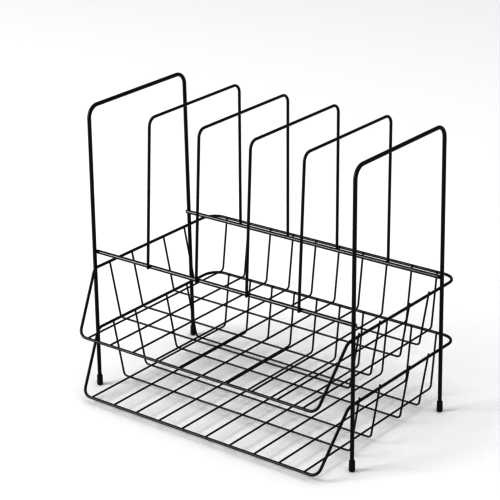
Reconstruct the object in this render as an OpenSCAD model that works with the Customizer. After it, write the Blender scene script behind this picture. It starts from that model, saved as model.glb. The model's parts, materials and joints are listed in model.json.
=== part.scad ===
/* [Wires] */
// Diameter of the end frames' heavy wire
frame_d = 4.4; // [3.6:0.1:5]
// Diameter of the two rails that the files stand on
rail_d = 4.5; // [3.6:0.1:4.8]
// Diameter of the dividers' wire
divider_d = 3.1; // [2.4:0.1:3.6]
// Diameter of the two tray rims
rim_d = 3.2; // [2.6:0.1:3.8]
// Diameter of the fine wires that floor the trays
grid_d = 2; // [1.6:0.1:2.4]
// How far two welded wires sink into each other
weld_bite = 0.15; // [0.05:0.05:0.2]

/* [End frames] */
// Distance between the two end frames' centre planes
frame_span = 371; // [340:1:400]
// Height of an end frame's top, to the wire's centre
frame_h = 346; // [300:1:380]
// Where the front legs stand on the floor, ahead of the centre
front_foot_y = -86; // [-96:1:-78]
// Where the front legs' line meets the top
front_top_y = -75; // [-82:1:-64]
// Where the rear legs stand on the floor, behind the centre
rear_foot_y = 88.5; // [80:0.5:94]
// Where the rear legs' line meets the top
rear_top_y = 92.5; // [84:0.5:98]
// Bend radius of an end frame's top corners
frame_bend_r = 14; // [8:1:20]

/* [Foot caps] */
// Outer diameter of a foot cap
cap_d = 7; // [6.2:0.1:8]
// Height of a foot cap
cap_h = 12.8; // [10:0.2:20]
// Thickness of a foot cap's sole
sole_t = 2.5; // [1.5:0.5:4]

/* [Rails and dividers] */
// Height of the front rail's centre
rail_z = 169.5; // [162:0.5:180]
// How far the rear rail lies below the front one
rear_rail_drop = 0.8; // [0:0.2:2]
// How far a rail runs past the centre of each leg
rail_over = 0.5; // [0:0.5:2]
// Number of dividers on the rails
divider_count = 4; // [2:1:5]
// Distance from one divider to the next
divider_pitch = 72; // [50:1:74]
// How far the row of dividers sits to the right of the centre
divider_shift = 5; // [-5:1:5]
// Height of a divider's top, to the wire's centre
divider_h = 344; // [290:1:370]
// How far a divider's front post leans to the rear between the rail and its top
divider_lean = 15.5; // [8:0.5:24]
// How far a divider's rear post leans to the rear between the rail and its top
divider_rear_lean = 6.5; // [1:0.5:10]
// Bend radius of a divider's top corners
divider_bend_r = 10; // [6:1:18]
// How far above the rails' undersides a divider's two ends stop
divider_foot = 0.5; // [0:0.1:1]

/* [Trays] */
// Height of the lower tray's floor, to its long wires' centres
lower_floor_z = 10.2; // [9:0.1:14]
// Distance from the lower tray's floor up to the upper one's
tray_pitch = 76.5; // [74:0.5:80]
// Height of a tray's rim above its floor
rim_h = 65.6; // [56:0.2:68]
// Front edge of the trays, ahead of the centre
tray_front_y = -129.5; // [-136:0.5:-120]
// Rear of the trays' rims, behind the centre
rim_rear_y = 129.5; // [124:0.5:134]
// Where a rim starts down to the front edge
rim_slope_y = -86; // [-92:1:-84]
// Half the length of a tray's front edge, to its corners
front_half_w = 171; // [166:1:174]
// Bend radius of a rim's rear corners
rim_rear_r = 18.5; // [10:0.5:20]
// Bend radius at the top of a rim's slope
rim_slope_r = 10; // [6:1:12]
// Bend radius at the foot of a rim's slope
rim_front_r = 11; // [6:1:16]

/* [Tray floors] */
// Number of long wires in a tray, front to rear
long_count = 10; // [6:1:14]
// Distance between the two outermost long wires
long_span = 310.5; // [280:0.5:316]
// Where the long wires turn up at the rear
long_bend_y = 116; // [110:1:118]
// How far the long wires reach past the front edge's centre
long_nose = 0.9; // [0.4:0.1:1.4]
// Distance from an outermost long wire to a cross wire's turn
cross_over = 11.4; // [8:0.2:14]
// Places of the cross wires, front to rear
cross_y = [-62.4, -23.2, 34.4, 73.2]; // [-84:0.2:104]
// Bend radius of the floor wires' turns
grid_bend_r = 5; // [3:0.5:7]
// How far the floor wires' tips reach above the rim's centre
grid_tail = 1.8; // [1:0.2:3]

/* [Hidden] */
$fn = 48;

// A wire swells a little at a bend, and its straight lengths run a little way into it
bend_swell = 0.04;
bend_lap = 0.3;

// End frames and caps
leg_x = frame_span / 2;
cap_round = 2;
cap_mouth_round = 0.5;
// How much of a leaning cap's sole is cut away to stand flat
sole_trim = 0.15;

// Heights of the trays
upper_floor_z = lower_floor_z + tray_pitch;

// Rails: welded inside the legs
leg_rail_gap = (frame_d + rail_d) / 2 - weld_bite;
front_rail_y = leg_y(front_foot_y, front_top_y, rail_z) + leg_rail_gap;
rear_rail_z = rail_z - rear_rail_drop;
rear_rail_y = leg_y(rear_foot_y, rear_top_y, rear_rail_z) - leg_rail_gap;
rail_half = leg_x + rail_over;

// Dividers: one post on the front of the front rail, and the other on the rear of the rear rail
divider_rail_gap = (divider_d + rail_d) / 2 - weld_bite;
divider_front_y = front_rail_y - divider_rail_gap;
divider_rear_y = rear_rail_y + divider_rail_gap;
front_foot_z = rail_z - rail_d / 2 + divider_foot;
rear_foot_z = front_foot_z - rear_rail_drop;

// Rims: welded to the inner sides of the legs
rim_x = leg_x - (frame_d + rim_d) / 2 + weld_bite;
edge_drop = (grid_d + rim_d) / 2 - weld_bite;

// Floor wires: the cross wires lie under the long ones
cross_drop = grid_d - weld_bite;
rim_grid_gap = (rim_d + grid_d) / 2 - weld_bite;
cross_turn_x = long_span / 2 + cross_over;

// Place of a leg's centre at height z, on the line from its foot to its top
function leg_y(foot_y, top_y, z) = foot_y + (top_y - foot_y) * z / frame_h;

function unit(v) = v / norm(v);
function turn_angle(u, v) = acos(min(1, max(-1, u * v)));
function tangent_length(u, v, r) = r * tan(turn_angle(u, v) / 2);

// Place of a divider post's centre at height z. It stands at y at its rail, and leans to its top.
function post_y(y, at_z, lean, z) = y + lean * (z - at_z) / (divider_h - at_z);

// Where a wire that rises from low stands at the rim's height, gap short of the rim
function flare(low, rim, rise, gap) = rim - gap / cos(atan((rim - low) / rise));

// One straight length of wire from a to b
module straight(a, b, d) {
    run = b - a;
    translate(a)
        rotate([0, acos(run.z / norm(run)), atan2(run.y, run.x)])
            cylinder(h = norm(run), d = d);
}

// One bend of radius r at the corner p, from heading u to heading v
module bend(p, u, v, r, d) {
    axis = unit(cross(u, v));
    out = cross(u, axis);
    start = p - u * tangent_length(u, v, r);
    middle = start - out * r;
    multmatrix([
        [out.x, u.x, axis.x, middle.x],
        [out.y, u.y, axis.y, middle.y],
        [out.z, u.z, axis.z, middle.z],
        [0, 0, 0, 1]
    ])
        rotate_extrude(angle = turn_angle(u, v))
            translate([r, 0])
                circle(d = d + bend_swell);
}

// A wire through the corner points, with a bend at each inner one
module bent_wire(points, radii, d) {
    last = len(points) - 1;
    heads = [for (i = [0 : last - 1]) unit(points[i + 1] - points[i])];
    cut = [for (i = [0 : last])
        (i == 0 || i == last) ? 0 : tangent_length(heads[i - 1], heads[i], radii[i - 1]) - bend_lap];
    for (i = [0 : last - 1])
        straight(points[i] + heads[i] * cut[i], points[i + 1] - heads[i] * cut[i + 1], d);
    for (i = [1 : last - 1])
        bend(points[i], heads[i - 1], heads[i], radii[i - 1], d);
}

// A closed loop of wire, with a bend at every corner point
module wire_loop(points, radii, d) {
    n = len(points);
    heads = [for (i = [0 : n - 1]) unit(points[(i + 1) % n] - points[i])];
    cut = [for (i = [0 : n - 1])
        tangent_length(heads[(i + n - 1) % n], heads[i], radii[i]) - bend_lap];
    for (i = [0 : n - 1]) {
        next = (i + 1) % n;
        straight(points[i] + heads[i] * cut[i], points[next] - heads[i] * cut[next], d);
        bend(points[i], heads[(i + n - 1) % n], heads[i], radii[i], d);
    }
}

// An upside-down U of heavy wire: two legs and the top that joins them
module end_frame(x) {
    color("#1b1b1d")
        bent_wire(
            [
                [x, leg_y(front_foot_y, front_top_y, sole_t), sole_t],
                [x, front_top_y, frame_h],
                [x, rear_top_y, frame_h],
                [x, leg_y(rear_foot_y, rear_top_y, sole_t), sole_t]
            ],
            [frame_bend_r, frame_bend_r],
            frame_d
        );
}

// A straight wire from end frame to end frame
module rail(y, z) {
    color("#202022")
        straight([-rail_half, y, z], [rail_half, y, z], rail_d);
}

// An upside-down U that parts two files
module divider(k) {
    x = divider_shift + (k - (divider_count + 1) / 2) * divider_pitch;
    front_y = post_y(divider_front_y, rail_z, divider_lean, front_foot_z);
    rear_y = post_y(divider_rear_y, rear_rail_z, divider_rear_lean, rear_foot_z);
    color("#242426")
        bent_wire(
            [
                [x, front_y, front_foot_z],
                [x, divider_front_y + divider_lean, divider_h],
                [x, divider_rear_y + divider_rear_lean, divider_h],
                [x, rear_y, rear_foot_z]
            ],
            [divider_bend_r, divider_bend_r],
            divider_d
        );
}

// A tray's closed rim: high at the rear and the sides, and sloping down to the front edge
module tray_rim(floor_z) {
    rim_z = floor_z + rim_h;
    edge_z = floor_z - edge_drop;
    color("#1d1d20")
        wire_loop(
            [
                [rim_x, rim_rear_y, rim_z],
                [-rim_x, rim_rear_y, rim_z],
                [-rim_x, rim_slope_y, rim_z],
                [-front_half_w, tray_front_y, edge_z],
                [front_half_w, tray_front_y, edge_z],
                [rim_x, rim_slope_y, rim_z]
            ],
            [rim_rear_r, rim_rear_r, rim_slope_r, rim_front_r, rim_front_r, rim_slope_r],
            rim_d
        );
}

// A floor wire from the front edge to the rear, where it turns up to the rim's inner side
module long_wire(k, floor_z) {
    x = (k - (long_count + 1) / 2) * long_span / (long_count - 1);
    tip_y = flare(long_bend_y, rim_rear_y, rim_h, rim_grid_gap);
    rise = (tip_y - long_bend_y) / rim_h;
    color("#2a2a2d")
        bent_wire(
            [
                [x, tray_front_y - long_nose, floor_z],
                [x, long_bend_y, floor_z],
                [x, tip_y + rise * grid_tail, floor_z + rim_h + grid_tail]
            ],
            [grid_bend_r],
            grid_d
        );
}

// A floor wire under the long ones, turned up at both sides to the rim's inner sides
module cross_wire(k, floor_z) {
    low_z = floor_z - cross_drop;
    reach = rim_h + cross_drop;
    tip_x = flare(cross_turn_x, rim_x, reach, rim_grid_gap);
    top_x = tip_x + (tip_x - cross_turn_x) / reach * grid_tail;
    y = cross_y[k - 1];
    color("#303034")
        bent_wire(
            [
                [-top_x, y, floor_z + rim_h + grid_tail],
                [-cross_turn_x, y, low_z],
                [cross_turn_x, y, low_z],
                [top_x, y, floor_z + rim_h + grid_tail]
            ],
            [grid_bend_r, grid_bend_r],
            grid_d
        );
}

// Half of a cap's cross-section: round at the sole and at the mouth, with the leg's bore
module cap_profile() {
    difference() {
        union() {
            translate([0, cap_round])
                square([cap_d / 2, cap_h - cap_round - cap_mouth_round]);
            square([cap_d / 2 - cap_round, cap_h]);
            translate([cap_d / 2 - cap_round, cap_round])
                circle(r = cap_round);
            translate([0, cap_h - cap_mouth_round])
                square([cap_d / 2 - cap_mouth_round, cap_mouth_round]);
            translate([cap_d / 2 - cap_mouth_round, cap_h - cap_mouth_round])
                circle(r = cap_mouth_round);
        }
        translate([0, sole_t + sole_trim])
            square([frame_d / 2, cap_h]);
        translate([-cap_d, -cap_h])
            square([cap_d, 3 * cap_h]);
    }
}

// A blind cap pushed over the end of a leg, with its sole flat on the floor
module foot_cap(x, foot_y, top_y) {
    lean = atan((top_y - foot_y) / frame_h);
    color("#111112")
        intersection() {
            translate([x, foot_y, 0])
                rotate([-lean, 0, 0])
                    translate([0, 0, -sole_trim])
                        rotate_extrude()
                            cap_profile();
            translate([x - cap_d, foot_y - cap_d, 0])
                cube([2 * cap_d, 2 * cap_d, 2 * cap_h]);
        }
}

end_frame(-leg_x);  // left_end_frame
end_frame(leg_x);  // right_end_frame
rail(front_rail_y, rail_z);  // front_rail
rail(rear_rail_y, rear_rail_z);  // rear_rail
for (k = [1 : divider_count])
    divider(k);
tray_rim(upper_floor_z);  // upper_tray_rim
tray_rim(lower_floor_z);  // lower_tray_rim
for (k = [1 : long_count])
    long_wire(k, upper_floor_z);
for (k = [1 : len(cross_y)])
    cross_wire(k, upper_floor_z);
for (k = [1 : long_count])
    long_wire(k, lower_floor_z);
for (k = [1 : len(cross_y)])
    cross_wire(k, lower_floor_z);
foot_cap(-leg_x, front_foot_y, front_top_y);  // front_left_cap
foot_cap(leg_x, front_foot_y, front_top_y);  // front_right_cap
foot_cap(-leg_x, rear_foot_y, rear_top_y);  // rear_left_cap
foot_cap(leg_x, rear_foot_y, rear_top_y);  // rear_right_cap
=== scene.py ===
import bpy
import json
import math
from mathutils import Matrix, Vector


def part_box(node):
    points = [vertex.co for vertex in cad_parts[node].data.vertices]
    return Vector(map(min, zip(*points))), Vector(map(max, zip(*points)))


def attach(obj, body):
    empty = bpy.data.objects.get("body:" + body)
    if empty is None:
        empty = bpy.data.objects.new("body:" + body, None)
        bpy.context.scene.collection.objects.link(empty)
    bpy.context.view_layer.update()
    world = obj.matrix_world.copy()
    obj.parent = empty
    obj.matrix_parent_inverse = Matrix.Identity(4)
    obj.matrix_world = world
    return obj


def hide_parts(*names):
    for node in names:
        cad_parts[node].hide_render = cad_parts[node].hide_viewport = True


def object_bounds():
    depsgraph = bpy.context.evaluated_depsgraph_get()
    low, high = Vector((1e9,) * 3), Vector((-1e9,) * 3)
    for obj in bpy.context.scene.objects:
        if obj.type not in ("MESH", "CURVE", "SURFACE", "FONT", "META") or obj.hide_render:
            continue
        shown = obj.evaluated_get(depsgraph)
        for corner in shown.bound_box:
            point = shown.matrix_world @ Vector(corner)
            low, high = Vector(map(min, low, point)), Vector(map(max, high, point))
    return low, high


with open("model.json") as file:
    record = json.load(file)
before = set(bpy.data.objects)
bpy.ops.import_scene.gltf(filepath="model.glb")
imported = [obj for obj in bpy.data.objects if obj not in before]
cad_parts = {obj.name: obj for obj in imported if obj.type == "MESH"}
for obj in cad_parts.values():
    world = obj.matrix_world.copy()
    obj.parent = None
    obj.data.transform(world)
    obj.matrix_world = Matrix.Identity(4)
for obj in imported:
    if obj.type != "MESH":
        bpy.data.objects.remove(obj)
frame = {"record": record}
cad_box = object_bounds()

# A wire desk file organizer. Bent steel wires are welded where they cross, coated black, and
# capped at the feet. The frame gives each wire's place, and the sizes below are in metres.
MM = 0.001

# Wire diameters
FRAME_WIRE = 4.4 * MM
RAIL_WIRE = 4.5 * MM
DIVIDER_WIRE = 3.1 * MM
RIM_WIRE = 3.2 * MM
GRID_WIRE = 2.0 * MM

# How far two welded wires sink into each other
WELD_BITE = 0.15 * MM

# Bend radii, to the wire's centre
FRAME_BEND = 14 * MM
DIVIDER_BEND = 10 * MM
RIM_REAR_BEND = 18.5 * MM
RIM_SLOPE_BEND = 10 * MM
RIM_FRONT_BEND = 11 * MM
GRID_BEND = 5 * MM

# How far a divider's front post leans back, and how far above the rails' undersides its posts end
DIVIDER_LEAN = 15.5 * MM
DIVIDER_FOOT = 0.5 * MM

# Where a rim's sides start to slope down, and half the width of its front edge
RIM_SLOPE_Y = -86 * MM
RIM_FRONT_X = 171 * MM

# Where the long wires turn up, how far outside the last of them the cross wires do, and how far
# both stand past the rim
LONG_BEND_Y = 116 * MM
CROSS_OVER = 11.4 * MM
GRID_TAIL = 1.8 * MM

# Foot caps
CAP_RADIUS = 3.5 * MM
CAP_H = 12.8 * MM
CAP_SOLE = 2.5 * MM
CAP_ROUND = 2 * MM
CAP_MOUTH_ROUND = 0.5 * MM
CAP_TAPER = 0.2 * MM
CAP_BORE_ROUND = 0.15 * MM
CAP_DISH = 0.25 * MM
CAP_SIDE_STEPS = 8
MOULD_LINE = 0.05 * MM

# The coating on a wire runs a little thick and thin. Each wire starts at its own place in the
# ripple, so no two are alike.
RIPPLE = 0.03 * MM
RIPPLE_LENGTH = 9 * MM
RIPPLE_SEED_STEP = 17.3

# A wire's sheared end: its rounded corner, the spot at the middle of its face, and how far
# that stands out, as shares of the diameter
SHEAR_CORNER = 0.2
SHEAR_SPOT = 0.04
SHEAR_DOME = 0.02

# A rim's butt weld: places along it, in steps of a share of the diameter, with their girths
BUTT_STEP = 0.35
BUTT_GIRTHS = ((2, 1.0), (1, 1.01), (0, 1.025), (-1, 1.01), (-2, 1.0))

# The coating's pools at the welds: how far apart the two wires are at the pool's edge
HEAVY_POOL = 0.35 * MM
MIDDLE_POOL = 0.32 * MM
FINE_POOL = 0.2 * MM

# A pool's narrowest place, as a share of the way out from the fused wires to the pool's edge
POOL_WAIST = 0.4

# Pools differ a little in size. Those at a wire's end stop short of it by a margin, and for the
# others the end is put too far off to matter.
POOL_VARIATION = 0.04
POOL_END_MARGIN = 0.1 * MM
NO_WIRE_END = 1.0

# Fineness of the meshes
HEAVY_SIDES = 28
MIDDLE_SIDES = 24
FINE_SIDES = 18
CAP_SIDES = 40
BEND_STEPS = 14
RING_SPACING = 2.2 * MM
POOL_SIDES = 16
POOL_STEPS = 4

# Wires in each tray's floor, and dividers on the rails
LONG_COUNT = 10
CROSS_COUNT = 4
DIVIDER_COUNT = 4

TRAYS = ("upper", "lower")
SIDES = {"left": -1, "right": 1}
ENDS = {"front": -1, "rear": 1}


# ---------------------------------------------------------------- node trees

def put(tree, kind, links=None, **settings):
    """Adds one node, sets it up, and joins or fills its inputs."""
    node = tree.nodes.new(kind)
    for name, value in settings.items():
        setattr(node, name, value)
    for key, value in (links or {}).items():
        value = getattr(value, "socket", value)
        if isinstance(value, bpy.types.NodeSocket):
            tree.links.new(value, node.inputs[key])
        else:
            node.inputs[key].default_value = value
    return node


class Field:
    """A number inside a node tree, so that a formula can be written as one."""

    def __init__(self, socket):
        self.socket = socket

    def by(self, operation, *others):
        inputs = dict(enumerate([self, *others]))
        node = put(self.socket.id_data, "ShaderNodeMath", inputs, operation=operation)
        return Field(node.outputs[0])

    def __add__(self, other):
        return self.by("ADD", other)

    def __sub__(self, other):
        return self.by("SUBTRACT", other)

    def __mul__(self, other):
        return self.by("MULTIPLY", other)

    def __truediv__(self, other):
        return self.by("DIVIDE", other)

    def root(self):
        return self.by("SQRT")


def new_tree(name, inputs):
    """A Geometry Nodes tree with named inputs. Returns the tree and a field for each input."""
    tree = bpy.data.node_groups.new(name, "GeometryNodeTree")
    for title, kind in inputs.items():
        tree.interface.new_socket(title, in_out="INPUT", socket_type=kind)
    tree.interface.new_socket("Geometry", in_out="OUTPUT", socket_type="NodeSocketGeometry")
    source = tree.nodes.new("NodeGroupInput")
    return tree, {title: Field(source.outputs[title]) for title in inputs}


def close_tree(tree, geometry, coating):
    """Ends a tree: real meshes, smooth, with their coating."""
    real = put(tree, "GeometryNodeRealizeInstances", {"Geometry": geometry})
    smooth = put(tree, "GeometryNodeSetShadeSmooth", {"Geometry": real.outputs[0]})
    painted = put(tree, "GeometryNodeSetMaterial",
                  {"Geometry": smooth.outputs[0], "Material": coating})
    put(tree, "NodeGroupOutput", {"Geometry": painted.outputs[0]})


def grow(name, mesh, tree, values):
    """Runs a tree on a mesh with these inputs, and keeps the result as a plain mesh."""
    piece = bpy.data.objects.new(name, mesh)
    bpy.context.scene.collection.objects.link(piece)
    modifier = piece.modifiers.new(tree.name, "NODES")
    modifier.node_group = tree
    sockets = {s.name: s.identifier for s in tree.interface.items_tree if s.in_out == "INPUT"}
    for title, value in values.items():
        modifier[sockets[title]] = value
    evaluated = piece.evaluated_get(bpy.context.evaluated_depsgraph_get())
    plain = bpy.data.meshes.new_from_object(evaluated)
    piece.modifiers.remove(modifier)
    piece.data = plain
    plain.name = name
    bpy.data.meshes.remove(mesh)
    return piece


def wire_tree():
    """A wire through corner points: bent at each, swept round, and rippled by its coating."""
    tree, given = new_tree("bent_wire", {
        "Corners": "NodeSocketGeometry",
        "Diameter": "NodeSocketFloat",
        "Sides": "NodeSocketInt",
        "Bend Steps": "NodeSocketInt",
        "Ring Spacing": "NodeSocketFloat",
        "Ripple": "NodeSocketFloat",
        "Ripple Length": "NodeSocketFloat",
        "Seed": "NodeSocketFloat",
        "Coating": "NodeSocketMaterial",
    })

    def named(name):
        node = put(tree, "GeometryNodeInputNamedAttribute", {"Name": name}, data_type="FLOAT")
        return Field(node.outputs["Attribute"])

    line = put(tree, "GeometryNodeMeshToCurve", {"Mesh": given["Corners"]})
    bent = put(tree, "GeometryNodeFilletCurve", {
        "Curve": line.outputs[0], "Count": given["Bend Steps"], "Radius": named("bend")},
        mode="POLY")

    # Rings along the straight lengths, so that they can ripple
    place = tree.nodes.new("GeometryNodeInputPosition")
    following = put(tree, "GeometryNodeOffsetPointInCurve", {"Offset": 1})
    ahead = put(tree, "GeometryNodeFieldAtIndex", {
        "Index": following.outputs["Point Index"], "Value": place.outputs[0]},
        data_type="FLOAT_VECTOR")
    span = put(tree, "ShaderNodeVectorMath", {
        0: place.outputs[0], 1: ahead.outputs[0]}, operation="DISTANCE")
    cuts = (Field(span.outputs["Value"]) / given["Ring Spacing"]).by("FLOOR")
    fine = put(tree, "GeometryNodeSubdivideCurve", {"Curve": bent.outputs[0], "Cuts": cuts})

    # How far along the wire each ring is, kept for the coating's grain
    spot = tree.nodes.new("GeometryNodeSplineParameter")
    marked = put(tree, "GeometryNodeStoreNamedAttribute", {
        "Geometry": fine.outputs[0], "Name": "along", "Value": spot.outputs["Length"]},
        data_type="FLOAT", domain="POINT")

    # The coating runs thick and thin, never past the wire's own diameter
    beat = Field(spot.outputs["Length"]) / given["Ripple Length"] + given["Seed"]
    swell = put(tree, "ShaderNodeTexNoise", {"W": beat, "Scale": 1.0, "Detail": 1.0},
                noise_dimensions="1D")
    ripple = (Field(swell.outputs[0]) - 1.0) * given["Ripple"]
    girth = (given["Diameter"] * 0.5 + ripple) * named("girth")

    circle = put(tree, "GeometryNodeCurvePrimitiveCircle", {
        "Resolution": given["Sides"], "Radius": 1.0})
    around = put(tree, "GeometryNodeStoreNamedAttribute", {
        "Geometry": circle.outputs[0], "Name": "around", "Value": place.outputs[0]},
        data_type="FLOAT_VECTOR", domain="POINT")
    swept = put(tree, "GeometryNodeCurveToMesh", {
        "Curve": marked.outputs[0], "Profile Curve": around.outputs[0],
        "Scale": girth, "Fill Caps": True})
    close_tree(tree, swept.outputs[0], given["Coating"])
    return tree


def weld_tree():
    """One weld at each point: the coating's pool between two crossing wires."""
    tree, given = new_tree("weld_pools", {
        "Crossings": "NodeSocketGeometry",
        "Lower Radius": "NodeSocketFloat",
        "Upper Radius": "NodeSocketFloat",
        "Bite": "NodeSocketFloat",
        "Pool Gap": "NodeSocketFloat",
        "End Of Upper": "NodeSocketFloat",
        "Variation": "NodeSocketFloat",
        "Seed": "NodeSocketInt",
        "Coating": "NodeSocketMaterial",
    })
    lower, upper, bite = given["Lower Radius"], given["Upper Radius"], given["Bite"]

    # A drum of unit size, whose side becomes the pool's hollow waist
    drum = put(tree, "GeometryNodeMeshCylinder", {
        "Vertices": POOL_SIDES, "Side Segments": POOL_STEPS, "Radius": 1.0, "Depth": 1.0},
        fill_type="TRIANGLE_FAN")
    place = tree.nodes.new("GeometryNodeInputPosition")
    parts = put(tree, "ShaderNodeSeparateXYZ", {0: place.outputs[0]})
    x, y, z = (Field(socket) for socket in parts.outputs)
    rise = z + 0.5

    # 1 at the middle of the drum's two ends, which stay sunk in the wires, and 0 at its rim
    hub = (x * x + y * y).by("LESS_THAN", 0.5)

    # The lower wire runs along x, below, and the upper one along y, above
    closeness = y * y / lower + x * x / upper + hub
    inner = (bite * 2 / closeness).root()
    outer = ((bite + given["Pool Gap"]) * 2 / closeness).root()
    waist = inner + (outer - inner) * POOL_WAIST
    reach = outer - (outer - waist) * rise * (rise * -1 + 1) * 4
    lower_face = (lower * lower - outer * outer * y * y).root() - lower + bite / 2
    upper_face = upper - bite / 2 - (upper * upper - outer * outer * x * x).root()
    level = lower_face + (upper_face - lower_face) * rise
    sunk = level + hub * z * (lower + upper)
    shape = put(tree, "ShaderNodeCombineXYZ", {
        0: x * reach, 1: (y * reach).by("MINIMUM", given["End Of Upper"]), 2: sunk})
    pool = put(tree, "GeometryNodeSetPosition", {
        "Geometry": drum.outputs["Mesh"], "Position": shape.outputs[0]})

    turn = put(tree, "GeometryNodeInputNamedAttribute", {"Name": "turn"},
               data_type="FLOAT_VECTOR")
    rotation = put(tree, "FunctionNodeEulerToRotation", {"Euler": turn.outputs["Attribute"]})
    size = put(tree, "FunctionNodeRandomValue", {
        "Min": given["Variation"] * -1 + 1, "Max": given["Variation"] + 1, "Seed": given["Seed"]},
        data_type="FLOAT")
    pools = put(tree, "GeometryNodeInstanceOnPoints", {
        "Points": given["Crossings"], "Instance": pool.outputs[0],
        "Rotation": rotation.outputs[0], "Scale": size.outputs[1]})
    close_tree(tree, pools.outputs[0], given["Coating"])
    return tree


# ---------------------------------------------------------------- finishes

# Grain of the coated wires, in ups and downs a metre
PATCHES = 42
FLECKS = 2400
ORANGE_PEEL = 950

# Draw lines, with the wire's radius taken as 1: how fine they are, and how far their pattern
# moves on in a metre of wire. That is little, so the lines are long.
DRAW_FINENESS = 9
DRAW_RUN = 25

# Grain of the vinyl caps
VINYL_CLOUDS = 120
VINYL_PEBBLE = 1800
VINYL_SCUFFS = 700
SCUFF_HEIGHT = 2.2 * MM

GRAIN_DEPTH = 0.05 * MM

DUST = (0.09, 0.088, 0.084, 1)
VINYL_DARK = (0.010, 0.010, 0.011, 1)
VINYL_LIGHT = (0.020, 0.020, 0.021, 1)
VINYL_WORN = (0.075, 0.073, 0.070, 1)
PALE_FLOOR = (0.86, 0.86, 0.86, 1)


def noise(tree, vector, scale, detail=2.0, roughness=0.5):
    """A noise over a vector, from 0 to 1."""
    node = put(tree, "ShaderNodeTexNoise", {
        "Vector": vector, "Scale": scale, "Detail": detail, "Roughness": roughness})
    return Field(node.outputs["Fac"])


def spread(field, low, high, to_low, to_high):
    """Maps a field from one range to another, and holds it there."""
    node = put(field.socket.id_data, "ShaderNodeMapRange", {
        "Value": field, "From Min": low, "From Max": high, "To Min": to_low, "To Max": to_high})
    return Field(node.outputs["Result"])


def blend_colour(tree, share, first, second):
    """A colour between two, by a share from 0 to 1."""
    node = put(tree, "ShaderNodeMix", {0: share, 6: first, 7: second}, data_type="RGBA")
    return node.outputs[2]


def new_finish(name):
    """A material with its shader and its Object coordinates."""
    finish = bpy.data.materials.new(name)
    finish.use_nodes = True
    tree = finish.node_tree
    place = tree.nodes.new("ShaderNodeTexCoord").outputs["Object"]
    return finish, tree, tree.nodes["Principled BSDF"], place


def coated_steel(name, shade, roughness, index, peel=0.22):
    """Black coating on drawn steel wire, with orange peel, faint draw lines and dust flecks."""
    finish, tree, shader, place = new_finish(name)
    patches = noise(tree, place, PATCHES, 3)
    flecks = noise(tree, place, FLECKS, 1)
    peel_height = noise(tree, place, ORANGE_PEEL, 2)

    # The steel's draw lines run along the wire and show faintly through the coating
    along = put(tree, "ShaderNodeAttribute", attribute_name="along")
    around = put(tree, "ShaderNodeAttribute", attribute_name="around")
    run = put(tree, "ShaderNodeCombineXYZ", {2: Field(along.outputs["Fac"]) * DRAW_RUN})
    strand = put(tree, "ShaderNodeVectorMath", {
        0: around.outputs["Vector"], 1: run.outputs[0]}, operation="ADD")
    draw_lines = noise(tree, strand.outputs[0], DRAW_FINENESS, 2)

    deep = (shade * 0.75, shade * 0.75, shade * 0.8, 1)
    pale = (shade * 1.5, shade * 1.5, shade * 1.6, 1)
    body = blend_colour(tree, spread(patches, 0.35, 0.7, 0, 1), deep, pale)
    dusty = blend_colour(tree, spread(flecks, 0.68, 0.78, 0, 0.35), body, DUST)
    tree.links.new(dusty, shader.inputs["Base Color"])

    dull = spread(patches, 0.3, 0.75, roughness - 0.04, roughness + 0.07)
    tree.links.new((dull + spread(flecks, 0.6, 0.8, 0, 0.12)).socket, shader.inputs["Roughness"])

    skin = peel_height * 0.8 + draw_lines * 0.2
    bump = put(tree, "ShaderNodeBump", {
        "Height": skin, "Strength": peel, "Distance": GRAIN_DEPTH})
    tree.links.new(bump.outputs[0], shader.inputs["Normal"])
    shader.inputs["IOR"].default_value = index
    return finish


def soft_vinyl(name):
    """Black dipped vinyl: satin, finely pebbled, and scuffed where it stands."""
    finish, tree, shader, place = new_finish(name)
    cloud = noise(tree, place, VINYL_CLOUDS, 3)
    pebble = noise(tree, place, VINYL_PEBBLE, 2)
    height = Field(put(tree, "ShaderNodeSeparateXYZ", {0: place}).outputs["Z"])
    patchy = spread(noise(tree, place, VINYL_SCUFFS, 3), 0.4, 0.6, 0, 1)
    scuff = spread(height, 0.2 * MM, SCUFF_HEIGHT, 1, 0) * patchy
    body = blend_colour(tree, cloud, VINYL_DARK, VINYL_LIGHT)
    worn = blend_colour(tree, scuff * 0.6, body, VINYL_WORN)
    tree.links.new(worn, shader.inputs["Base Color"])
    tree.links.new((spread(cloud, 0.3, 0.7, 0.42, 0.55) + scuff * 0.2).socket,
                   shader.inputs["Roughness"])
    bump = put(tree, "ShaderNodeBump", {
        "Height": pebble, "Strength": 0.25, "Distance": GRAIN_DEPTH})
    tree.links.new(bump.outputs[0], shader.inputs["Normal"])
    shader.inputs["IOR"].default_value = 1.49
    return finish


FINISHES = {
    "frame_wire": coated_steel("coated_frame_wire", shade=0.011, roughness=0.24, index=1.48),
    "rail_wire": coated_steel("coated_rail_wire", shade=0.012, roughness=0.15, index=1.52,
                              peel=0.18),
    "divider_wire": coated_steel("coated_divider_wire", shade=0.011, roughness=0.24, index=1.45),
    "rim_wire": coated_steel("coated_rim_wire", shade=0.011, roughness=0.25, index=1.42),
    "grid_wire": coated_steel("coated_floor_wire", shade=0.012, roughness=0.28, index=1.4),
    "foot_cap": soft_vinyl("black_soft_vinyl"),
}


# ---------------------------------------------------------------- where the wires lie

def middle(node):
    low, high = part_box(node)
    return (low + high) / 2


def contact(first, second):
    """Distance between the centre lines of two welded wires."""
    return (first + second) / 2 - WELD_BITE


def flare(low, rim, rise, gap):
    """Where a wire that rises from low stands at the rim's height, gap short of the rim."""
    return rim - gap / math.cos(math.atan2(rim - low, rise))


RAILS = {end: middle(f"{end}_rail") for end in ENDS}
SOLES = {m["name"]: Vector(m["pos_m"]) for m in frame["record"]["mounts"]}
LEG_X = middle("right_end_frame").x


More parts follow.
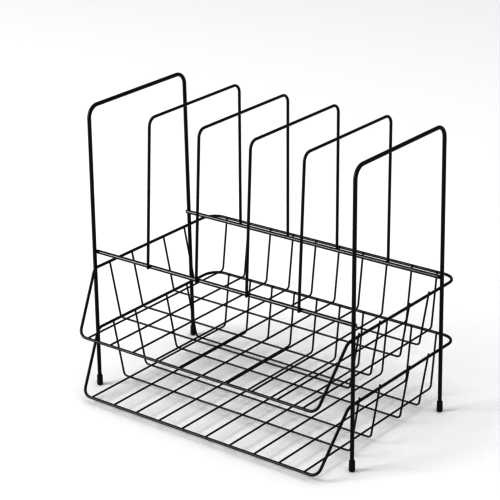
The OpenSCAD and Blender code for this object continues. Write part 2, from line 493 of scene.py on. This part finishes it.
def leg_y(end, height):
    """Place of a leg's centre at a height, on the line from its sole past its rail."""
    foot = SOLES[f"{end}_right_sole"].y
    at_rail = RAILS[end].y + ENDS[end] * contact(FRAME_WIRE, RAIL_WIRE)
    return foot + (at_rail - foot) * height / RAILS[end].z


def end_frame_corners(side):
    """An upside-down U, from the front leg's foot inside its cap to the rear leg's."""
    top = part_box(f"{side}_end_frame")[1].z - FRAME_WIRE / 2
    x = SIDES[side] * LEG_X
    return [
        (x, leg_y("front", CAP_SOLE), CAP_SOLE),
        (x, leg_y("front", top), top),
        (x, leg_y("rear", top), top),
        (x, leg_y("rear", CAP_SOLE), CAP_SOLE),
    ]


def divider_corners(k):
    """An upside-down U outside the two rails, from the front post's end to the rear post's."""
    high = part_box(f"divider_{k}")[1]
    x = middle(f"divider_{k}").x
    top = high.z - DIVIDER_WIRE / 2
    drop = RAIL_WIRE / 2 - DIVIDER_FOOT
    front = RAILS["front"] + Vector((0, -contact(DIVIDER_WIRE, RAIL_WIRE), 0))
    rear = RAILS["rear"] + Vector((0, contact(DIVIDER_WIRE, RAIL_WIRE), 0))
    rear_lean = high.y - DIVIDER_WIRE / 2 - rear.y
    return [
        (x, front.y - DIVIDER_LEAN * drop / (top - front.z), front.z - drop),
        (x, front.y + DIVIDER_LEAN, top),
        (x, rear.y + rear_lean, top),
        (x, rear.y - rear_lean * drop / (top - rear.z), rear.z - drop),
    ]


class Tray:
    """The lines that a tray's wires keep to."""

    def __init__(self, name):
        low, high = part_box(f"{name}_tray_rim")
        half = RIM_WIRE / 2
        self.name = name
        self.rim_x = high.x - half
        self.rim_z = high.z - half
        self.rear_y = high.y - half
        self.front_y = low.y + half
        self.edge_z = low.z + half
        self.floor_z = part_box(f"{name}_long_wire_1")[0].z + GRID_WIRE / 2
        self.under_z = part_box(f"{name}_cross_wire_1")[0].z + GRID_WIRE / 2
        self.nose_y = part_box(f"{name}_long_wire_1")[0].y
        self.long_x = [middle(f"{name}_long_wire_{k + 1}").x for k in range(LONG_COUNT)]
        self.cross_y = [middle(f"{name}_cross_wire_{k + 1}").y for k in range(CROSS_COUNT)]
        self.turn_x = self.long_x[-1] + CROSS_OVER

    def rim_corners(self):
        x, z = self.rim_x, self.rim_z
        return [
            (0, self.rear_y, z),
            (-x, self.rear_y, z),
            (-x, RIM_SLOPE_Y, z),
            (-RIM_FRONT_X, self.front_y, self.edge_z),
            (RIM_FRONT_X, self.front_y, self.edge_z),
            (x, RIM_SLOPE_Y, z),
            (x, self.rear_y, z),
        ]

    def long_tip(self):
        """Lean and tip of a long wire's risen end."""
        rise = self.rim_z - self.floor_z
        at_rim = flare(LONG_BEND_Y, self.rear_y, rise, contact(RIM_WIRE, GRID_WIRE))
        lean = (at_rim - LONG_BEND_Y) / rise
        return lean, at_rim + lean * GRID_TAIL

    def cross_tip(self):
        """Lean and tip of a cross wire's risen ends."""
        rise = self.rim_z - self.under_z
        at_rim = flare(self.turn_x, self.rim_x, rise, contact(RIM_WIRE, GRID_WIRE))
        lean = (at_rim - self.turn_x) / rise
        return lean, at_rim + lean * GRID_TAIL

    def long_corners(self, x):
        return [
            (x, self.nose_y, self.floor_z),
            (x, LONG_BEND_Y, self.floor_z),
            (x, self.long_tip()[1], self.rim_z + GRID_TAIL),
        ]

    def cross_corners(self, y):
        tip_x = self.cross_tip()[1]
        return [
            (-tip_x, y, self.rim_z + GRID_TAIL),
            (-self.turn_x, y, self.under_z),
            (self.turn_x, y, self.under_z),
            (tip_x, y, self.rim_z + GRID_TAIL),
        ]


# ---------------------------------------------------------------- wires

def sheared_end(tip, inward, diameter):
    """Points of a cut and coated end, from its flat face to the full girth, with their girths."""
    points = [(tip, SHEAR_SPOT)]
    for degrees in (0, 30, 60, 90):
        turn = math.radians(degrees)
        depth = diameter * (SHEAR_DOME + SHEAR_CORNER * (1 - math.cos(turn)))
        points.append((tip + inward * depth, 1 - 2 * SHEAR_CORNER * (1 - math.sin(turn))))
    return points


def corner_mesh(name, corners, bends, diameter, closed):
    """The corner points of a wire as a line of edges, each with its bend radius and girth."""
    places = [Vector(c) for c in corners]
    rows = [(p, 1.0, b) for p, b in zip(places, bends)]
    if closed:
        # The loop's two ends meet in a butt weld, whose flash stands a little proud
        step = Vector((diameter * BUTT_STEP, 0, 0))
        rows = [(places[0] + step * k, g, 0.0) for k, g in BUTT_GIRTHS] + rows[1:]
    else:
        first = sheared_end(places[0], (places[1] - places[0]).normalized(), diameter)
        last = sheared_end(places[-1], (places[-2] - places[-1]).normalized(), diameter)
        rows = ([(p, g, 0.0) for p, g in first] + rows[1:-1]
                + [(p, g, 0.0) for p, g in reversed(last)])
    count = len(rows)
    edges = [(k, k + 1) for k in range(count - 1)] + ([(count - 1, 0)] if closed else [])
    mesh = bpy.data.meshes.new(name + "_corners")
    mesh.from_pydata([row[0] for row in rows], edges, [])
    for column, title in ((1, "girth"), (2, "bend")):
        layer = mesh.attributes.new(title, "FLOAT", "POINT")
        layer.data.foreach_set("value", [row[column] for row in rows])
    return mesh


WIRE_TREE = wire_tree()
WIRES_MADE = []


def coated_wire(node, corners, bends, diameter, slot, sides, closed=False):
    """The finished wire that stands for one CAD node."""
    name = node + "_coated"
    wire = grow(name, corner_mesh(name, corners, bends, diameter, closed), WIRE_TREE, {
        "Diameter": diameter,
        "Sides": sides,
        "Bend Steps": BEND_STEPS,
        "Ring Spacing": RING_SPACING,
        "Ripple": RIPPLE,
        "Ripple Length": RIPPLE_LENGTH,
        "Seed": len(WIRES_MADE) * RIPPLE_SEED_STEP,
        "Coating": FINISHES[slot],
    })
    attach(wire, "root")
    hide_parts(node)
    WIRES_MADE.append(wire)


def make_end_frames():
    for side in SIDES:
        coated_wire(f"{side}_end_frame", end_frame_corners(side),
                    [0, FRAME_BEND, FRAME_BEND, 0], FRAME_WIRE, "frame_wire", HEAVY_SIDES)


def make_rails():
    for end in ENDS:
        low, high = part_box(f"{end}_rail")
        y, z = RAILS[end].yz
        coated_wire(f"{end}_rail", [(low.x, y, z), (high.x, y, z)],
                    [0, 0], RAIL_WIRE, "rail_wire", HEAVY_SIDES)


def make_dividers():
    for k in range(DIVIDER_COUNT):
        coated_wire(f"divider_{k + 1}", divider_corners(k + 1),
                    [0, DIVIDER_BEND, DIVIDER_BEND, 0], DIVIDER_WIRE, "divider_wire",
                    MIDDLE_SIDES)


def make_tray(tray):
    coated_wire(f"{tray.name}_tray_rim", tray.rim_corners(),
                [0, RIM_REAR_BEND, RIM_SLOPE_BEND, RIM_FRONT_BEND, RIM_FRONT_BEND,
                 RIM_SLOPE_BEND, RIM_REAR_BEND],
                RIM_WIRE, "rim_wire", MIDDLE_SIDES, closed=True)
    for k, x in enumerate(tray.long_x):
        coated_wire(f"{tray.name}_long_wire_{k + 1}", tray.long_corners(x),
                    [0, GRID_BEND, 0], GRID_WIRE, "grid_wire", FINE_SIDES)
    for k, y in enumerate(tray.cross_y):
        coated_wire(f"{tray.name}_cross_wire_{k + 1}", tray.cross_corners(y),
                    [0, GRID_BEND, GRID_BEND, 0], GRID_WIRE, "grid_wire", FINE_SIDES)


# ---------------------------------------------------------------- welds

WELD_TREE = weld_tree()


def crossing(lower_middle, lower_run, towards, lower_d):
    """Place and turn of one weld: x along the lower wire, z towards the upper one."""
    up = Vector(towards).normalized()
    run = Vector(lower_run)
    run = (run - up * run.dot(up)).normalized()
    place = Vector(lower_middle) + up * (lower_d - WELD_BITE) / 2
    turn = Matrix((run, up.cross(run), up)).transposed().to_euler()
    return place, turn


def welds(name, crossings, lower_d, upper_d, slot, pool, end_of_upper=NO_WIRE_END):
    """The pools at a set of crossings, as one piece."""
    mesh = bpy.data.meshes.new(name + "_places")
    mesh.from_pydata([place for place, turn in crossings], [], [])
    turns = [angle for place, turn in crossings for angle in turn]
    mesh.attributes.new("turn", "FLOAT_VECTOR", "POINT").data.foreach_set("vector", turns)
    piece = grow(name, mesh, WELD_TREE, {
        "Lower Radius": lower_d / 2,
        "Upper Radius": upper_d / 2,
        "Bite": WELD_BITE,
        "Pool Gap": pool,
        "End Of Upper": end_of_upper,
        "Variation": POOL_VARIATION,
        "Seed": len(crossings),
        "Coating": FINISHES[slot],
    })
    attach(piece, "root")


def rim_height_at_leg(tray, end):
    """Height of a rim's centre where it passes a leg. The front leg is where the slope begins."""
    if end == "rear":
        return tray.rim_z
    fall = math.atan2(tray.rim_z - tray.edge_z, RIM_SLOPE_Y - tray.front_y)
    bend_start = RIM_SLOPE_Y + RIM_SLOPE_BEND * math.tan(fall / 2)
    past = max(0.0, bend_start - leg_y("front", tray.rim_z))
    return tray.rim_z - RIM_SLOPE_BEND + math.sqrt(RIM_SLOPE_BEND ** 2 - past ** 2)


def make_frame_welds(trays):
    """Rims and rails to the legs, and dividers to the rails."""
    rims, rails, dividers = [], [], []
    for side, sign in SIDES.items():
        for end, out in ENDS.items():
            lean = leg_y(end, 1.0) - leg_y(end, 0.0)
            leg_run = Vector((0, lean, 1))
            for tray in trays:
                height = rim_height_at_leg(tray, end)
                leg = (sign * LEG_X, leg_y(end, height), height)
                rims.append(crossing(leg, leg_run, (-sign, 0, 0), FRAME_WIRE))
            rail_z = RAILS[end].z
            leg = (sign * LEG_X, leg_y(end, rail_z), rail_z)
            # Turned so that the weld's y points out, to the rail's end
            rails.append(crossing(leg, leg_run * sign * out * -1, (0, -out, 0), FRAME_WIRE))
    for end, out in ENDS.items():
        for k in range(DIVIDER_COUNT):
            x = middle(f"divider_{k + 1}").x
            at_rail = (x, RAILS[end].y, RAILS[end].z)
            dividers.append(crossing(at_rail, (1, 0, 0), (0, out, 0), RAIL_WIRE))
    rail_past_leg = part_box("front_rail")[1].x - LEG_X - POOL_END_MARGIN
    welds("rim_to_leg_welds", rims, FRAME_WIRE, RIM_WIRE, "frame_wire", MIDDLE_POOL)
    welds("rail_to_leg_welds", rails, FRAME_WIRE, RAIL_WIRE, "frame_wire", HEAVY_POOL,
          rail_past_leg)
    welds("divider_to_rail_welds", dividers, RAIL_WIRE, DIVIDER_WIRE, "divider_wire",
          MIDDLE_POOL)


def make_tray_welds(tray):
    """Floor wires to each other, and to the rim's front, rear and sides."""
    floor = [crossing((x, y, tray.under_z), (1, 0, 0), (0, 0, 1), GRID_WIRE)
             for x in tray.long_x for y in tray.cross_y]
    noses = [crossing((x, tray.front_y, tray.edge_z), (-1, 0, 0), (0, 0, 1), RIM_WIRE)
             for x in tray.long_x]
    long_lean = tray.long_tip()[0]
    rear = [crossing((x, tray.rear_y, tray.rim_z), (1, 0, 0), (0, -1, long_lean), RIM_WIRE)
            for x in tray.long_x]
    cross_lean = tray.cross_tip()[0]
    sides = [crossing((sign * tray.rim_x, y, tray.rim_z), (0, 1, 0), (-sign, 0, cross_lean),
                      RIM_WIRE)
             for sign in SIDES.values() for y in tray.cross_y]
    nose_past_rim = tray.front_y - tray.nose_y - POOL_END_MARGIN
    welds(f"{tray.name}_floor_welds", floor, GRID_WIRE, GRID_WIRE, "grid_wire", FINE_POOL)
    welds(f"{tray.name}_front_edge_welds", noses, RIM_WIRE, GRID_WIRE, "rim_wire", FINE_POOL,
          nose_past_rim)
    welds(f"{tray.name}_rim_welds", rear + sides, RIM_WIRE, GRID_WIRE, "rim_wire", FINE_POOL)


# ---------------------------------------------------------------- foot caps

def arc(middle_radius, middle_height, radius, first, last, steps):
    """Part of a circle in a cap's outline, by angles above level, outside to the right."""
    turns = [math.radians(first + (last - first) * k / steps) for k in range(steps + 1)]
    return [(middle_radius + radius * math.cos(t), middle_height + radius * math.sin(t))
            for t in turns]


def cap_outline():
    """Radius and height along a cap, from the middle of its dished sole to its blind bore."""
    flat = CAP_RADIUS - CAP_ROUND
    mouth = CAP_RADIUS - CAP_TAPER - CAP_MOUTH_ROUND
    bore = FRAME_WIRE / 2
    shoulder = CAP_H - CAP_MOUTH_ROUND
    dish = [(0, CAP_DISH), (flat * 0.5, CAP_DISH * 0.85), (flat * 0.85, CAP_DISH * 0.2)]
    side = []
    for k in range(1, CAP_SIDE_STEPS):
        share = k / CAP_SIDE_STEPS
        narrower = CAP_TAPER * share * share * (3 - 2 * share)
        side.append((CAP_RADIUS - narrower, CAP_ROUND + (shoulder - CAP_ROUND) * share))
    return (dish + arc(flat, CAP_ROUND, CAP_ROUND, -90, 0, 8) + side
            + arc(mouth, shoulder, CAP_MOUTH_ROUND, 0, 90, 5)
            + [(bore + CAP_BORE_ROUND, CAP_H), (bore, CAP_H - CAP_BORE_ROUND),
               (bore, CAP_SOLE), (0, CAP_SOLE)])


def make_cap(end, side):
    """A blind vinyl cap, sheared to its leg's lean, with its sole flat on the floor."""
    sole = SOLES[f"{end}_{side}_sole"]
    lean = leg_y(end, 1.0) - leg_y(end, 0.0)
    points, rings, faces = [], [], []
    for radius, height in cap_outline():
        count = CAP_SIDES if radius else 1
        rings.append(range(len(points), len(points) + count))
        for k in range(count):
            turn = 2 * math.pi * k / CAP_SIDES
            # Two faint mould lines, at the left and the right, stand proud of the skin
            skin = radius > FRAME_WIRE / 2 and k % (CAP_SIDES // 2)
            out = radius - (MOULD_LINE if skin else 0)
            points.append(sole + Vector((
                out * math.cos(turn), out * math.sin(turn) + height * lean, height)))
    for below, above in zip(rings, rings[1:]):
        for k in range(CAP_SIDES):
            n = (k + 1) % CAP_SIDES
            if len(below) == 1:
                faces.append((below[0], above[n], above[k]))
            elif len(above) == 1:
                faces.append((below[k], below[n], above[0]))
            else:
                faces.append((below[k], below[n], above[n], above[k]))
    name = f"{end}_{side}_cap_moulded"
    mesh = bpy.data.meshes.new(name)
    mesh.from_pydata(points, [], faces)
    mesh.shade_smooth()
    mesh.materials.append(FINISHES["foot_cap"])
    cap = bpy.data.objects.new(name, mesh)
    bpy.context.scene.collection.objects.link(cap)
    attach(cap, "root")
    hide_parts(f"{end}_{side}_cap")


# ---------------------------------------------------------------- studio

# Half of the floor's side, in metres
FLOOR_HALF = 30.0

# The camera's place round the point it looks at, in degrees and metres, and its lens in mm
CAMERA_AZIMUTH = 39.01
CAMERA_ELEVATION = 21.92
CAMERA_DISTANCE = 2.053
CAMERA_ROLL = -1.77
CAMERA_LENS = 130.9
CAMERA_SENSOR = 36

# That point, from the middle of the organizer
LOOK_OFFSET = Vector((1.05, -22.0, 21.4)) * MM


def make_floor():
    """A plain pale floor, wide enough to fill the view."""
    half = FLOOR_HALF
    mesh = bpy.data.meshes.new("studio_floor")
    mesh.from_pydata([(-half, -half, 0), (half, -half, 0), (half, half, 0), (-half, half, 0)],
                     [], [(0, 1, 2, 3)])
    finish, _, shader, _ = new_finish("pale_floor")
    shader.inputs["Base Color"].default_value = PALE_FLOOR
    shader.inputs["Roughness"].default_value = 0.85
    mesh.materials.append(finish)
    floor = bpy.data.objects.new("studio_floor", mesh)
    bpy.context.scene.collection.objects.link(floor)


def aim(position, target, roll=0.0):
    """A matrix at position that looks at target, as cameras and lamps do, along its own -z."""
    back = (position - target).normalized()
    right = Vector((0, 0, 1)).cross(back).normalized()
    up = back.cross(right)
    turned_right = right * math.cos(roll) + up * math.sin(roll)
    turned_up = up * math.cos(roll) - right * math.sin(roll)
    matrix = Matrix((turned_right, turned_up, back)).transposed().to_4x4()
    matrix.translation = position
    return matrix


def from_centre(centre, azimuth, elevation, distance):
    """A point at a distance from the centre. Azimuth 0 is in front, and 90 at the right."""
    a, e = math.radians(azimuth), math.radians(elevation)
    return centre + distance * Vector((
        math.sin(a) * math.cos(e), -math.cos(a) * math.cos(e), math.sin(e)))


def softbox(name, centre, azimuth, elevation, distance, size, power, on_floor=True):
    """A panel of light. With on_floor off, it lights nothing and shows only in reflections."""
    lamp = bpy.data.lights.new(name, "AREA")
    lamp.shape = "RECTANGLE"
    lamp.size, lamp.size_y = size
    lamp.energy = power
    box = bpy.data.objects.new(name, lamp)
    box.matrix_world = aim(from_centre(centre, azimuth, elevation, distance), centre)
    box.visible_diffuse = on_floor
    bpy.context.scene.collection.objects.link(box)


def make_studio(centre):
    make_floor()
    softbox("key_softbox", centre, azimuth=-40, elevation=36, distance=6.0,
            size=(2.4, 1.6), power=190)
    softbox("strip_softbox", centre, azimuth=-40, elevation=12, distance=6.0,
            size=(2.4, 2.6), power=350, on_floor=False)
    softbox("fill_softbox", centre, azimuth=75, elevation=50, distance=5.0,
            size=(2.4, 1.8), power=30)
    softbox("overhead_softbox", centre, azimuth=180, elevation=78, distance=5.0,
            size=(4.0, 4.0), power=60)
    world = bpy.data.worlds.new("studio")
    world.use_nodes = True
    sky = world.node_tree.nodes["Background"]
    sky.inputs["Color"].default_value = (0.925, 0.925, 0.93, 1)
    sky.inputs["Strength"].default_value = 0.72
    bpy.context.scene.world = world
    bpy.context.scene.view_settings.view_transform = "Standard"
    bpy.context.scene.view_settings.gamma = 0.5


def make_camera(centre):
    """A long lens from the front right, a little above, tilted by a degree or two."""
    look = centre + LOOK_OFFSET
    place = from_centre(look, CAMERA_AZIMUTH, CAMERA_ELEVATION, CAMERA_DISTANCE)
    lens = bpy.data.cameras.new("camera")
    lens.lens = CAMERA_LENS
    lens.sensor_width = CAMERA_SENSOR
    camera = bpy.data.objects.new("camera", lens)
    camera.matrix_world = aim(place, look, math.radians(CAMERA_ROLL))
    bpy.context.scene.collection.objects.link(camera)
    bpy.context.scene.camera = camera


middle_of_all = (cad_box[0] + cad_box[1]) / 2
make_camera(middle_of_all)
TRAY_LINES = [Tray(name) for name in TRAYS]
make_end_frames()
make_rails()
make_dividers()
for tray_lines in TRAY_LINES:
    make_tray(tray_lines)
    make_tray_welds(tray_lines)
make_frame_welds(TRAY_LINES)
for cap_end in ENDS:
    for cap_side in SIDES:
        make_cap(cap_end, cap_side)
make_studio(middle_of_all)
